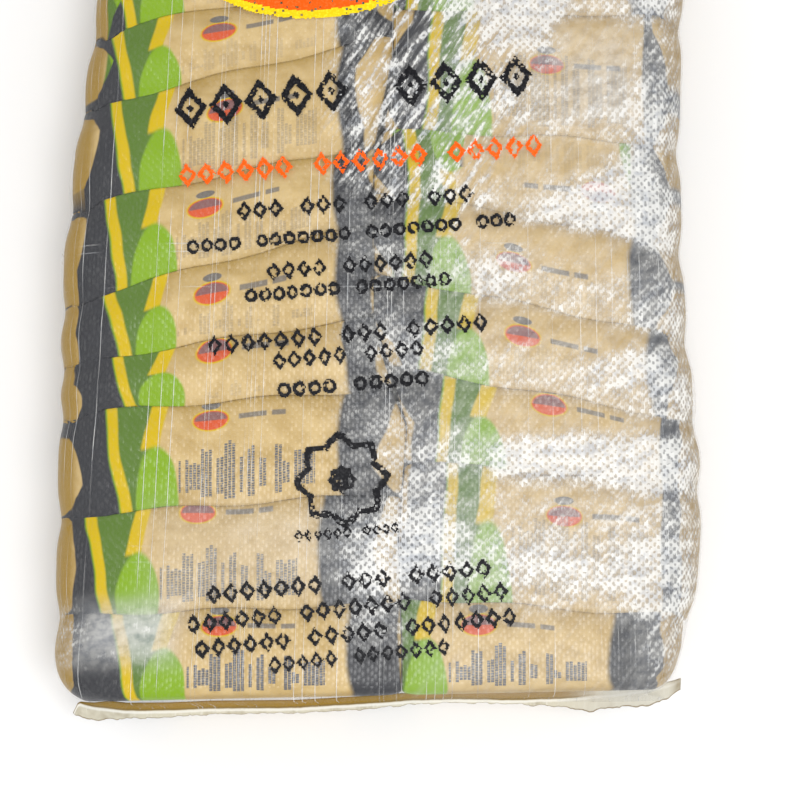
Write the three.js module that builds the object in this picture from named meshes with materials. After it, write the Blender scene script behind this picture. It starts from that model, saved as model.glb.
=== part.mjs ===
// A clear woven sack packed tight with two columns of small packs of brown sugar, lying on its back.
// X runs across the sack, Y from the bottom hem to the top hem, Z up. All sizes are in millimetres.
import * as THREE from "three";
import { mergeVertices } from "three/addons/utils/BufferGeometryUtils.js";

// The filled body, between the two end walls.
const BODY_LENGTH = 525;
const HALF_WIDTH = 190;
const THICKNESS = 122;
const SECTION_POWER = 6; // how square the rounded cross-section is
const UNDERSIDE_PRESS = 4; // how much of the round underside the sack's own weight flattens

// The left side draws in towards the top of the sack.
const LEFT_TAPER = 26;
const LEFT_TAPER_FROM = 225;

// The right side bulges over the second pack, is drawn in below it and swells a little near the top.
const RIGHT_HALF_WIDTH = 180.5;
const RIGHT_BULGE = { out: 9.5, at: 120, spread: 85 };
const RIGHT_WAIST = { out: -7, at: 22, spread: 18 };
const RIGHT_SWELL = 3.5;
const RIGHT_SWELL_FROM = 330;
const RIGHT_SWELL_TO = 430;

// The bottom end is set askew: its right corner sits this much higher than its middle.
const BOTTOM_SLANT = 4;

// Rounding of the body's edges where it meets the end walls.
const FRONT_EDGE_RADIUS = 12;
const BACK_EDGE_RADIUS = 14;
const CORNER_RADIUS = 28;

// The flat folded hem that closes each end.
const HEM_LENGTH = 4;
const HEM_THICKNESS = 3;
const HEM_SIDE_INSET = 12;
const HEM_LEVEL = 56;
const HEM_WAVE = 3;
const HEM_WAVE_LENGTH = 170;
const HEM_SWAY = 3; // how much longer and shorter the hem gets along the end
const HEM_SHORTEST_AT = 35;
const HEM_SWAY_LENGTH = 330;
const HEM_ROOT = 2; // how far the end wall leans out to the hem

// Packs in each column, from the bottom up: the room each one takes and the slope of each seam
// between two of them. The seams rise towards the middle of the sack.
const LEFT_COLUMN = {
  rows: [52, 58, 59, 32, 41, 53, 58.5, 43, 43, 43, 42.5],
  slopes: [1, 3, 3.5, 8, 14, 11, 13, 10, 6, 3],
  measuredAt: -137,
  rise: 1,
};
const RIGHT_COLUMN = {
  rows: [50, 77, 45, 50, 52, 51, 75, 62.5, 62.5],
  slopes: [5, 6, 11, 12, 11, 3, 2, 1],
  measuredAt: 104,
  rise: -1,
};

// The film dips over the seams between packs and between the two columns.
const SEAM_DIP = 5;
const SEAM_SPREAD = 9;
const SIDE_DIP = 3;
const MIDDLE_DIP = 3;
const MIDDLE_SPREAD = 14;

// Mesh steps round the section and along the body.
const FRONT_STEPS = 28;
const SIDE_STEPS = 8;
const BACK_STEPS = 8;
const BODY_STEPS = 66;
const EDGE_STEPS = 4;

const bell = (distance, spread) => Math.exp(-((distance / spread) ** 2));

function leftHalfWidth(t) {
  return HALF_WIDTH - LEFT_TAPER * THREE.MathUtils.smoothstep(t, LEFT_TAPER_FROM, BODY_LENGTH);
}

function rightHalfWidth(t) {
  const swell = RIGHT_SWELL * THREE.MathUtils.smoothstep(t, RIGHT_SWELL_FROM, RIGHT_SWELL_TO);
  const bulge = RIGHT_BULGE.out * bell(t - RIGHT_BULGE.at, RIGHT_BULGE.spread);
  const waist = RIGHT_WAIST.out * bell(t - RIGHT_WAIST.at, RIGHT_WAIST.spread);
  return RIGHT_HALF_WIDTH + swell + bulge + waist;
}

// How far a rounded edge draws the surface in, at a distance t from the nearer end wall.
function edgeInset(t, radius) {
  const fromEnd = Math.min(t, BODY_LENGTH - t);
  if (fromEnd >= radius) return 0;
  return radius - Math.sqrt(radius ** 2 - (radius - fromEnd) ** 2);
}

// How far the askew bottom end shifts a point along the sack.
function slant(x, t) {
  return BOTTOM_SLANT * (x / HALF_WIDTH) * (1 - t / BODY_LENGTH);
}

// Nearness to a seam between two packs of the column at x: 1 on the seam, 0 far from it.
function seamNearness(x, t) {
  const column = x < 0 ? LEFT_COLUMN : RIGHT_COLUMN;
  let seam = 0;
  let nearness = 0;
  column.slopes.forEach((slope, row) => {
    seam += column.rows[row];
    const rise = Math.tan(THREE.MathUtils.degToRad(slope)) * column.rise;
    const distance = t - seam - rise * (x - column.measuredAt);
    nearness = Math.max(nearness, bell(distance, SEAM_SPREAD));
  });
  return nearness;
}

// The point where a ray from the section's middle through a point of the unit square meets a
// rounded square. across and up run from -1 to 1, and one of them is at its limit.
function roundedSquare(across, up) {
  const reach = (Math.abs(across) ** SECTION_POWER + Math.abs(up) ** SECTION_POWER) ** (1 / SECTION_POWER);
  return { across: across / reach, up: up / reach };
}

// A point on the filled body, at a distance t from the bottom end wall.
function bodyPoint(across, up, t) {
  const half = THICKNESS / 2;
  const round = roundedSquare(across, up);
  const width = (round.across < 0 ? leftHalfWidth(t) : rightHalfWidth(t)) - edgeInset(t, CORNER_RADIUS);
  let x = round.across * width;
  let z = half + round.up * (round.up > 0 ? half : half + UNDERSIDE_PRESS);
  if (round.up > 0) {
    const seam = seamNearness(x, t);
    const front = round.up ** 2;
    z -= front * (SEAM_DIP * seam + MIDDLE_DIP * bell(x, MIDDLE_SPREAD));
    x -= round.across ** 5 * SIDE_DIP * seam;
  }
  z = Math.min(z, THICKNESS - edgeInset(t, FRONT_EDGE_RADIUS));
  z = Math.max(z, edgeInset(t, BACK_EDGE_RADIUS));
  return new THREE.Vector3(x, t + slant(x, t), z);
}

// A point on the flat hem, at a distance beyond the end wall that it grows from.
function hemPoint(across, up, beyond, atTop, thickness) {
  const t = atTop ? BODY_LENGTH : 0;
  const width = (across < 0 ? leftHalfWidth(t) : rightHalfWidth(t)) - HEM_SIDE_INSET;
  const x = across * width;
  const turn = (2 * Math.PI * x) / HEM_WAVE_LENGTH;
  const sway = HEM_SWAY * Math.cos((2 * Math.PI * (x - HEM_SHORTEST_AT)) / HEM_SWAY_LENGTH);
  const reach = beyond - (sway * beyond) / (HEM_ROOT + HEM_LENGTH);
  const y = atTop ? t + reach : t - reach;
  const level = HEM_LEVEL + HEM_WAVE * Math.sin(turn);
  return new THREE.Vector3(x, y + slant(x, t), level + (up * thickness) / 2);
}

// Rings of the sack from the bottom hem's tip to the top hem's tip. Each ring is a function that
// gives the point for a place on the unit square.
function sackRings() {
  const hem = (beyond, atTop, thickness) => (across, up) => hemPoint(across, up, beyond, atTop, thickness);
  const body = (t) => (across, up) => bodyPoint(across, up, t);
  const hemRings = (atTop) => [
    hem(HEM_ROOT + HEM_LENGTH, atTop, HEM_THICKNESS),
    hem(HEM_ROOT + HEM_LENGTH / 2, atTop, HEM_THICKNESS),
    hem(HEM_ROOT, atTop, 2 * HEM_THICKNESS),
  ];
  const edge = [];
  for (let i = 0; i < EDGE_STEPS; i++) {
    const turn = (i / EDGE_STEPS) * (Math.PI / 2);
    edge.push(CORNER_RADIUS * (1 - Math.cos(turn)));
  }
  const rings = hemRings(false);
  edge.forEach((t) => rings.push(body(t)));
  for (let i = 0; i <= BODY_STEPS; i++) {
    const share = i / BODY_STEPS;
    rings.push(body(THREE.MathUtils.lerp(CORNER_RADIUS, BODY_LENGTH - CORNER_RADIUS, share)));
  }
  edge.reverse().forEach((t) => rings.push(body(BODY_LENGTH - t)));
  return rings.concat(hemRings(true).reverse());
}

// Places on the unit square's edge, going round from the middle of the front towards +X.
function squarePlaces() {
  const places = [];
  const side = (steps, from, to) => {
    for (let i = 0; i < steps; i++) {
      const share = i / steps;
      places.push([THREE.MathUtils.lerp(from[0], to[0], share), THREE.MathUtils.lerp(from[1], to[1], share)]);
    }
  };
  side(FRONT_STEPS / 2, [0, 1], [1, 1]);
  side(SIDE_STEPS, [1, 1], [1, -1]);
  side(BACK_STEPS, [1, -1], [-1, -1]);
  side(SIDE_STEPS, [-1, -1], [-1, 1]);
  side(FRONT_STEPS / 2, [-1, 1], [0, 1]);
  return places;
}

// A closed cylinder whose rings are moved onto the sack's rings.
function sackGeometry() {
  const rings = sackRings();
  const places = squarePlaces();
  const geometry = new THREE.CylinderGeometry(1, 1, 1, places.length, rings.length - 1);
  geometry.deleteAttribute("normal");
  geometry.deleteAttribute("uv");
  const position = geometry.attributes.position;
  const point = new THREE.Vector3();
  for (let i = 0; i < position.count; i++) {
    point.fromBufferAttribute(position, i);
    const ring = rings[Math.round((point.y + 0.5) * (rings.length - 1))];
    if (Math.hypot(point.x, point.z) < 0.5) {
      point.copy(ring(0, 0));
    } else {
      const turn = Math.atan2(point.x, point.z) / (2 * Math.PI);
      const place = (Math.round(turn * places.length) + places.length) % places.length;
      point.copy(ring(...places[place]));
    }
    position.setXYZ(i, point.x, point.y, point.z);
  }
  const closed = mergeVertices(geometry, 1e-4);
  closed.computeBoundingBox();
  const middle = closed.boundingBox.getCenter(new THREE.Vector3());
  closed.translate(-middle.x, -middle.y, -closed.boundingBox.min.z);
  closed.computeVertexNormals();
  return closed;
}

const filledSack = new THREE.MeshStandardMaterial({ color: 0xe0c79a, roughness: 0.35, metalness: 0 });
const sack = new THREE.Mesh(sackGeometry(), filledSack);
sack.name = "sack";

const bagOfSugar = new THREE.Group();
bagOfSugar.add(sack);

export default bagOfSugar;
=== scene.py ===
import math
import random

import bmesh
import bpy
import numpy as np
from mathutils import Matrix, Vector, noise
from mathutils.bvhtree import BVHTree


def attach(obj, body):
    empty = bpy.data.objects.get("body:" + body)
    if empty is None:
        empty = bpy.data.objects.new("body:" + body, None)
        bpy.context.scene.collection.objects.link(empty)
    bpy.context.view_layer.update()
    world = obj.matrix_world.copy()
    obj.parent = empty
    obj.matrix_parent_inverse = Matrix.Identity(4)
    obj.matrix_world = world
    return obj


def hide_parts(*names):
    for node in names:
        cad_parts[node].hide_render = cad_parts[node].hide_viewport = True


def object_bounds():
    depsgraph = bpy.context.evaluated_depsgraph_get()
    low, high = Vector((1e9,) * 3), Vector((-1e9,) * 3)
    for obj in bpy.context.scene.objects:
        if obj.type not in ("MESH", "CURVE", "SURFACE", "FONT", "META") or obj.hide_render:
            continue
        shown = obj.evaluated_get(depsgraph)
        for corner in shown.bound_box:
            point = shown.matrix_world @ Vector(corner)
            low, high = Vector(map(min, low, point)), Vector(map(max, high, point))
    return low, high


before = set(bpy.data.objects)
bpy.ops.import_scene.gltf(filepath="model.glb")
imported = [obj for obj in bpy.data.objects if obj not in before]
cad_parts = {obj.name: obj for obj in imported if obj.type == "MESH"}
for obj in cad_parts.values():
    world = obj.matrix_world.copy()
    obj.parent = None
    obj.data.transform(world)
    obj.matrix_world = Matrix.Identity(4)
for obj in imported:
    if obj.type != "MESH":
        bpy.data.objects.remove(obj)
cad_low, cad_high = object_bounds()
cad_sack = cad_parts["sack"]


# The empty sack: a tube of clear woven plastic film, cut to the form that it has when it is full.
# The packs are fitted inside this skin, and after them it is drawn tight over their fronts.
def new_piece(name, mesh):
    piece = bpy.data.objects.new(name, mesh)
    bpy.context.scene.collection.objects.link(piece)
    return piece


def new_mesh(name, shape):
    """Turns a finished bmesh into a mesh."""
    mesh = bpy.data.meshes.new(name)
    shape.to_mesh(mesh)
    shape.free()
    return mesh


def make_film():
    """A fine, smooth copy of the filled sack's skin."""
    skin = bmesh.new()
    skin.from_mesh(cad_sack.data)
    bmesh.ops.remove_doubles(skin, verts=skin.verts, dist=1e-5)
    bmesh.ops.join_triangles(
        skin, faces=skin.faces, angle_face_threshold=math.pi, angle_shape_threshold=math.pi
    )
    film = new_piece("woven_film", new_mesh("woven_film", skin))
    finer = film.modifiers.new("finer", "SUBSURF")
    finer.levels = finer.render_levels = 2
    bpy.context.view_layer.update()
    fine = bpy.data.meshes.new_from_object(film.evaluated_get(bpy.context.evaluated_depsgraph_get()))
    film.modifiers.clear()
    film.data = fine
    return film


def skin_of(mesh):
    """A mesh's faces, sorted so that rays and nearest points are found fast."""
    shape = bmesh.new()
    shape.from_mesh(mesh)
    skin = BVHTree.FromBMesh(shape)
    shape.free()
    return skin


film = make_film()
film_skin = skin_of(film.data)


# The packs: pouches of brown sugar, printed plastic film filled to a soft brick and sealed at both ends.
# They lie on edge in two columns, pressed together in the sack, so each one takes the room that its
# neighbours leave and its narrow side panel faces up.
BODY_FOOT = cad_low.y + 0.01194  # where the filled body starts, above the hem
BODY_LENGTH = 0.525
HALF_WIDTH = 0.190
BOTTOM_SLANT = 0.004
SEAM_WAVE = 0.0012  # how much a seam between two packs winds
SEAM_WAVE_TURNS = 75.0

# From the bottom up: the room each pack takes, the slope of each seam in degrees, how far each pack's
# print is shifted, how far its badge sits along and down from the usual place, how dark its fine ticks
# are, how far the stripes lean from the top of a panel to its foot, how far the edge of the dark print
# bulges at its ends, how much of its inner end is left bare of it, and which packs lie upside down.
LEFT_COLUMN = {
    "name": "left",
    "side": -1,
    "rows": (0.052, 0.058, 0.059, 0.032, 0.041, 0.053, 0.0585, 0.043, 0.043, 0.043, 0.0425),
    "slopes": (0, 1, 3, 3.5, 8, 14, 11, 13, 10, 6, 3, 0),
    "measured_at": -0.137,
    "print_at": -0.1885,
    "shifts": (0.006, -0.010, 0.0, 0.003, -0.002, -0.003, 0.0, -0.001, 0.0, 0.002, -0.002),
    "labels": (
        (0.002, -0.0035), (0.005, -0.010), (0.002, -0.004), (0.0005, -0.008), (0.004, 0.0025),
        (0.0005, 0.004), (0.0085, 0.0085), (0.0055, 0.0025), (0.002, 0.001), (-0.003, 0.0),
        (0.001, -0.001),
    ),
    "fine_print": (1.7, 0.9, 1.0, 0.2, 0.3, 0.35, 0.4, 0.2, 0.15, 0.2, 0.2),
    "print_lean": -0.009,
    "end_bulge": (0.001, 0.003, 0.009, 0.008, 0.008, 0.009, 0.008, 0.008, 0.008, 0.008, 0.008),
    "bare_ends": (0.0, 0.010, 0.008, 0.0, 0.0, 0.0, 0.013, 0.0, 0.0, 0.0, 0.0),
    "upside_down": (),
}
RIGHT_COLUMN = {
    "name": "right",
    "side": 1,
    "rows": (0.050, 0.077, 0.045, 0.050, 0.052, 0.051, 0.075, 0.0625, 0.0625),
    "slopes": (0, 5, 6, 11, 12, 11, 3, 2, 1, 0),
    "measured_at": 0.104,
    "print_at": -0.0154,
    "shifts": (-0.0190, 0.017, 0.015, 0.006, -0.005, -0.004, 0.008, -0.003, 0.002),
    "labels": (
        (0.001, -0.0015), (0.014, 0.010), (0.008, -0.007), (0.002, 0.006), (0.008, 0.0155),
        (-0.0035, 0.006), (0.015, 0.019), (0.004, 0.003), (0.0, 0.0),
    ),
    "fine_print": (1.4, 0.45, 0.0, 0.15, 0.20, 0.15, 0.5, 0.2, 0.2),
    "print_lean": 0.005,
    "end_bulge": (-0.006, -0.008, -0.008, -0.008, -0.008, -0.008, -0.010, -0.008, -0.008),
    "bare_ends": (0.0,) * 9,
    "upside_down": (5,),
}
# Where each left pack ends, near the middle of the sack.
LEFT_PACKS_END = (0.013, 0.011, 0.016, -0.003, -0.003, -0.003, 0.008, 0.008, 0.005, 0.003, 0.0)
PACK_CUTS = (53, 15, 15)  # mesh cuts along the length, across the side panel and through the depth
PACK_ROUNDING = 0.0018
PACK_GAP = -0.0004  # neighbours are pressed together, so they share a little room
PACK_CROWN = 0.0018  # how much the middle of a panel stands proud of its edges
END_CLEARANCE = 0.0028
SIDE_CLEARANCE = 0.0008
MIDDLE_CLEARANCE = 0.0003
DEPTH_CLEARANCE = 0.001
FILM_CLEARANCE = 0.0010
SHINGLE_DROP = 0.0012  # each pack's upper edge is tucked this far under the next
OUTER_END = {"reach": 0.020, "taper": 0.04}
INNER_END = {"reach": 0.012, "taper": 0.08}
INNER_COVER = 0.006  # how much further the dark print runs at the inner end
WRINKLE = 0.0008
CREAM_FROM, CREAM_TO = 0.068, 0.165  # the plain middle of the print, along the pack
END_PRINT_RUN = 0.025  # half of how far the print runs on down an end of the pack
SEED_STEP, SEED_SIDE = 1.7, 0.6  # what sets one pack's wrinkles apart from the next one's
OUTSIDE = 0.3  # a distance that is well outside the sack, to look in from
DOWN = Vector((0, 0, -1))


def smoothstep(low, high, value):
    share = min(max((value - low) / (high - low), 0.0), 1.0)
    return share * share * (3 - 2 * share)


def seam_y(column, row, x):
    """Where the seam under a row runs at x: it rises towards the middle of the sack."""
    slope = math.tan(math.radians(column["slopes"][row])) * -column["side"]
    along = sum(column["rows"][:row]) + slope * (x - column["measured_at"])
    if 0 < row < len(column["rows"]):
        along += SEAM_WAVE * math.sin(SEAM_WAVE_TURNS * x + 2.1 * row)
    askew = BOTTOM_SLANT * x / HALF_WIDTH * (1 - along / BODY_LENGTH)
    return BODY_FOOT + along + askew


left_row_middles = [
    (seam_y(LEFT_COLUMN, row, 0) + seam_y(LEFT_COLUMN, row + 1, 0)) / 2
    for row in range(len(LEFT_PACKS_END))
]


def meeting_x(y):
    """Where the two columns meet at y."""
    return float(np.interp(y, left_row_middles, LEFT_PACKS_END))


def side_x(column, y):
    """Where the sack's side wall stands at y, found by looking in from outside at half height."""
    start = Vector((column["side"] * OUTSIDE, y, cad_high.z / 2))
    hit, normal, index, distance = film_skin.ray_cast(start, Vector((-column["side"], 0, 0)))
    return hit.x


def cut_block(cuts):
    """A cube of edge 2, cut into a fine grid on every face."""
    block = bmesh.new()
    bmesh.ops.create_cube(block, size=2)
    for axis, count in enumerate(cuts):
        along = [e for e in block.edges if abs(e.verts[0].co[axis] - e.verts[1].co[axis]) > 1.9]
        bmesh.ops.subdivide_edges(block, edges=along, cuts=count, use_grid_fill=True)
    return block


def to_edges(share):
    """Draws evenly spaced cuts from -1 to 1 closer together near both ends."""
    return share * (1.3 - 0.3 * share * share)


def rounded(across, up, half_height, half_depth, radius):
    """A point of a pack's cross-section, moved from the square outline onto one with rounded corners."""
    point = Vector((across * half_height, up * half_depth))
    if max(abs(across), abs(up)) < 0.9999:
        return point
    core = Vector(max(-h + radius, min(h - radius, p)) for p, h in zip(point, (half_height, half_depth)))
    return core + (point - core).normalized() * radius


def end_closing(from_end, end):
    """0 along the pack, growing to 1 where its end is gathered to the seal."""
    share = 1 - from_end / end["reach"]
    return 1 - math.sqrt(1 - min(max(share, 0.0), 1.0) ** 2)


def panel_share(flat, normal, depth_share):
    """How far down the side panel a corner of the block lies, going on over the pack's other sides."""
    deep = (1 - flat.z) / 2
    if normal.y > 0.9:
        return -deep * depth_share
    if normal.y < -0.9:
        return 1 + deep * depth_share
    if normal.z < -0.9:
        return 1 + depth_share + (1 + flat.y) / 2
    return (1 - to_edges(flat.y)) / 2


def lay_print(block, flat_places, flat_normals, print_at, depth_share, turned):
    """The pack's print in a UV map: metres along the pack, and share of the side panel from its top."""
    print_map = block.loops.layers.uv["print"]
    for face, normal in zip(block.faces, flat_normals):
        middle = face.calc_center_median().x - print_at
        for loop in face.loops:
            flat = flat_places[loop.vert.index]
            u = loop.vert.co.x - print_at
            v = panel_share(flat, normal, depth_share)
            if abs(normal.x) > 0.9:
                u += math.copysign((1 - flat.z) * END_PRINT_RUN, normal.x)
            if turned:
                v = 1 - v
                u = CREAM_FROM + CREAM_TO - u if CREAM_FROM < middle < CREAM_TO else u
            loop[print_map].uv = (u, v)


def give_points(mesh, name, values):
    """Stores one number for each point of a mesh, for its material to read."""
    mesh.attributes.new(name, "FLOAT", "POINT").data.foreach_set("value", values)


def make_pack(column, row, seed):
    """One pack between the seams below and above it, from the middle of the sack to its side."""
    side = column["side"]
    low_mid = seam_y(column, row, side * HALF_WIDTH / 2)
    high_mid = seam_y(column, row + 1, side * HALF_WIDTH / 2)
    outer = side_x(column, (low_mid + high_mid) / 2) - side * SIDE_CLEARANCE
    panel = column["rows"][row]
    half_height = panel / 2
    half_depth = cad_high.z / 2 - DEPTH_CLEARANCE
    gap_below = END_CLEARANCE if row == 0 else PACK_GAP
    gap_above = END_CLEARANCE if row == len(column["rows"]) - 1 else PACK_GAP
    block = cut_block(PACK_CUTS)
    block.loops.layers.uv.new("print")
    block.verts.index_update()
    flat_places = [vert.co.copy() for vert in block.verts]
    flat_normals = [face.normal.copy() for face in block.faces]
    from_end = []
    covered = []
    for vert in block.verts:
        along, across, up = to_edges(vert.co.x), to_edges(vert.co.y), vert.co.z
        section = rounded(across, up, half_height, half_depth, PACK_ROUNDING)
        inner = meeting_x(low_mid + (high_mid - low_mid) * (0.5 + 0.5 * across)) + side * MIDDLE_CLEARANCE
        x = inner + (outer - inner) * (1 + along * side) / 2
        end = OUTER_END if along * side > 0 else INNER_END
        to_end = (1 - abs(along)) * abs(outer - inner) / 2
        from_end.append(to_end if end is OUTER_END else to_end + INNER_COVER)
        covered.append(from_end[-1] - (0.0 if end is OUTER_END else column["bare_ends"][row]))
        closing = end_closing(to_end, end)
        share = 0.5 + 0.5 * (section.x / half_height) * (1 - end["taper"] * closing)
        low = seam_y(column, row, x) + gap_below
        high = seam_y(column, row + 1, x) - gap_above
        z = cad_high.z / 2 + section.y * (1 - 0.5 * end["taper"] * closing)
        crumple = noise.fractal(Vector((x * 55, share * 1.6, z * 20 + seed)), 1.0, 2.0, 3)
        pleats = math.sin(share * 17 + seed + 3 * crumple) * smoothstep(0.75, 1.0, abs(along))
        if up > 0:
            z -= SHINGLE_DROP * smoothstep(0.35, 1.0, share) * up
            z -= PACK_CROWN * (2 * share - 1) ** 2 * up
            z += WRINKLE * (crumple + 0.8 * pleats) * up
        place = Vector((x, low + (high - low) * share, z))
        near, normal, index, distance = film_skin.find_nearest(place)
        if (place - near).dot(normal) > -FILM_CLEARANCE:
            place = near - normal * FILM_CLEARANCE
        vert.co = place
    print_at = column["print_at"] + column["shifts"][row]
    turned = row in column["upside_down"]
    lay_print(block, flat_places, flat_normals, print_at, half_depth / half_height, turned)
    mesh = new_mesh(f"pack_{column['name']}_{row + 1}", block)
    mesh.shade_smooth()
    along, down = column["labels"][row]
    same_all_over = {
        "panel_height": panel,
        "pack_seed": seed,
        "label_along": along,
        "label_down": down,
        "fine_print": column["fine_print"][row],
        "print_lean": column["print_lean"],
        "end_bulge": column["end_bulge"][row],
    }
    for name, value in same_all_over.items():
        give_points(mesh, name, [value] * len(mesh.vertices))
    give_points(mesh, "from_end", from_end)
    give_points(mesh, "covered", covered)
    return new_piece(mesh.name, mesh)


def feed(tree, socket, source):
    """Links a socket to another one, or sets it to a plain value."""
    if isinstance(source, bpy.types.NodeSocket):
        tree.links.new(source, socket)
    else:
        socket.default_value = source


def node(tree, kind, *sources, **settings):
    """A new shader node with its settings and inputs in order. Returns its first output."""
    made = tree.nodes.new(kind)
    for key, value in settings.items():
        setattr(made, key, value)
    for socket, source in zip(made.inputs, sources):
        if source is not None:
            feed(tree, socket, source)
    return made.outputs[0]


def calc(tree, operation, *values):
    return node(tree, "ShaderNodeMath", *values, operation=operation)


def product(tree, *values):
    result = values[0]
    for value in values[1:]:
        result = calc(tree, "MULTIPLY", result, value)
    return result


def times_plus(tree, value, factor, more):
    return calc(tree, "MULTIPLY_ADD", value, factor, more)


def centred(tree, value):
    """A value from 0 to 1, moved to run from -0.5 to 0.5."""
    return calc(tree, "SUBTRACT", value, 0.5)


def noise_at(tree, place, scale, detail, roughness):
    return node(tree, "ShaderNodeTexNoise", place, None, scale, detail, roughness)


def draw_for(tree, number):
    """A random draw from 0 to 1 that belongs to a number."""
    return node(tree, "ShaderNodeTexWhiteNoise", None, number, noise_dimensions="1D")


def drawn_out(tree, place, size, turn=0.0):
    """A place to read noise at, so that its lumps have this size and lie turned by this angle."""
    return node(tree, "ShaderNodeMapping", place, None, (0, 0, turn), size, vector_type="TEXTURE")


def ramp(tree, value, low, high, start=0.0, end=1.0, kind="SMOOTHSTEP"):
    return node(tree, "ShaderNodeMapRange", value, low, high, start, end, interpolation_type=kind)


def band(tree, value, low, high, soft):
    """1 between low and high with soft edges, 0 outside."""
    rise = ramp(tree, value, low - soft, low + soft)
    fall = ramp(tree, value, high - soft, high + soft, 1.0, 0.0)
    return product(tree, rise, fall)


def paint(tree, below, colour, mask):
    """One colour laid over another where the mask is 1."""
    mix = tree.nodes.new("ShaderNodeMix")
    mix.data_type = "RGBA"
    for socket, source in zip((mix.inputs[0], mix.inputs[6], mix.inputs[7]), (mask, below, colour)):
        feed(tree, socket, source)
    return mix.outputs[2]


def length_of(tree, x, y, radii):
    """Distance from the middle of an ellipse, 1 on its edge."""
    across = calc(tree, "POWER", calc(tree, "DIVIDE", x, radii[0]), 2.0)
    along = calc(tree, "POWER", calc(tree, "DIVIDE", y, radii[1]), 2.0)
    return calc(tree, "SQRT", calc(tree, "ADD", across, along))


def ellipse(tree, u, v, centre, radii, soft):
    """1 inside an ellipse, 0 outside."""
    x = calc(tree, "ABSOLUTE", calc(tree, "SUBTRACT", u, centre[0]))
    y = calc(tree, "ABSOLUTE", calc(tree, "SUBTRACT", v, centre[1]))
    return ramp(tree, length_of(tree, x, y, radii), 1 - soft, 1 + soft, 1.0, 0.0)


def attribute(tree, name):
    reader = tree.nodes.new("ShaderNodeAttribute")
    reader.attribute_name = name
    return reader.outputs["Fac"]


def uv_parts(tree, name):
    split = tree.nodes.new("ShaderNodeSeparateXYZ")
    tree.links.new(node(tree, "ShaderNodeUVMap", uv_map=name), split.inputs[0])
    return split.outputs[0], split.outputs[1]


def new_material(name):
    material = bpy.data.materials.new(name)
    material.use_nodes = True
    tree = material.node_tree
    tree.nodes.clear()
    return material, tree


def plastic(tree, colour, roughness, normal=None):
    """A glossy plastic surface of a colour that is painted or the same all over."""
    shader = tree.nodes.new("ShaderNodeBsdfPrincipled")
    feed(tree, shader.inputs["Base Color"], colour)
    shader.inputs["Roughness"].default_value = roughness
    shader.inputs["Specular IOR Level"].default_value = 0.12
    if normal:
        tree.links.new(normal, shader.inputs["Normal"])
    return shader.outputs[0]


def bumpy(tree, height, strength, distance):
    bump = tree.nodes.new("ShaderNodeBump")
    bump.inputs["Strength"].default_value = strength
    bump.inputs["Distance"].default_value = distance
    tree.links.new(height, bump.inputs["Height"])
    return bump.outputs[0]


def surface(tree, shader):
    output = tree.nodes.new("ShaderNodeOutputMaterial")
    tree.links.new(shader, output.inputs["Surface"])


SUGAR = (0.485, 0.340, 0.138, 1)
SUGAR_PALE = (0.595, 0.440, 0.210, 1)
SUGAR_GRAIN_AND_SHADE = (0.310, 0.190, 0.030, 1)
CHARCOAL = (0.038, 0.039, 0.044, 1)
LEAF_GREEN = (0.095, 0.175, 0.024, 1)
LIME = (0.205, 0.360, 0.008, 1)
YELLOW = (0.58, 0.405, 0.001, 1)
BADGE_ORANGE = (0.60, 0.095, 0.030, 1)
PRINT_GREY = (0.105, 0.110, 0.125, 1)

# The layout of the print: metres along the pack, and metres down the panel for the badge and its bars.
FIELD = (0.0295, 0.0640)
LIME_STRIPE = (0.0315, 0.0368)
YELLOW_STRIPE = (0.0358, 0.0420)
CORNER_BAR = (0.0595, 0.0685)
STRIPE_SOFT = 0.0009
DOME_AT, DOME_RADII = (0.0610, 0.96), (0.0125, 0.55)
BADGE_AT = (0.0900, 0.0140)
BADGE_RIM, BADGE_FIELD, BADGE_INSET = (0.0108, 0.0066), (0.0100, 0.0058), (0.0092, 0.0052)
CAP_AT, CAP_RADII = (0.0900, 0.0052), (0.0055, 0.0024)
LONG_BAR, SHORT_BAR, BAR_DOWN = (0.106, 0.122), (0.125, 0.133), (0.0122, 0.0152)
BAR_SOFT = 0.0005
FINE_FROM, FINE_TO = 0.074, 0.152
FINE_COLUMNS = 150.0  # columns to a metre along the pack
FINE_LINES = 3.0  # lines in a column
FINE_TICKS = 700.0  # ticks to a metre down the panel


def fine_columns(tree, u, share, depth, place):
    """Fine grey ticks in lines down the lower half of the plain middle, up to three lines to a column."""
    column = product(tree, u, FINE_COLUMNS)
    draw = draw_for(tree, calc(tree, "FLOOR", column))
    line = product(tree, column, FINE_LINES)
    line_draw = draw_for(tree, calc(tree, "ADD", calc(tree, "FLOOR", line), 0.37))
    thin = band(tree, calc(tree, "FRACT", line), 0.04, 0.84, 0.10)
    printed = calc(tree, "GREATER_THAN", line_draw, 0.20)
    step = times_plus(tree, depth, FINE_TICKS, product(tree, line_draw, 7.0))
    ticks = ramp(tree, calc(tree, "PINGPONG", step, 0.5), 0.02, 0.20, 0.25, 1.0)
    top = times_plus(tree, draw, -0.012, times_plus(tree, line_draw, 0.006, 0.033))
    below = calc(tree, "GREATER_THAN", depth, top)
    above = calc(tree, "LESS_THAN", share, times_plus(tree, draw, 0.10, 0.84))
    worn = ramp(tree, noise_at(tree, place, 900.0, 1.0, 0.5), 0.32, 0.48, 0.45, 1.0)
    inside = band(tree, u, FINE_FROM, FINE_TO, 0.0004)
    return product(tree, thin, printed, ticks, below, above, worn, inside, attribute(tree, "fine_print"))


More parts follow.
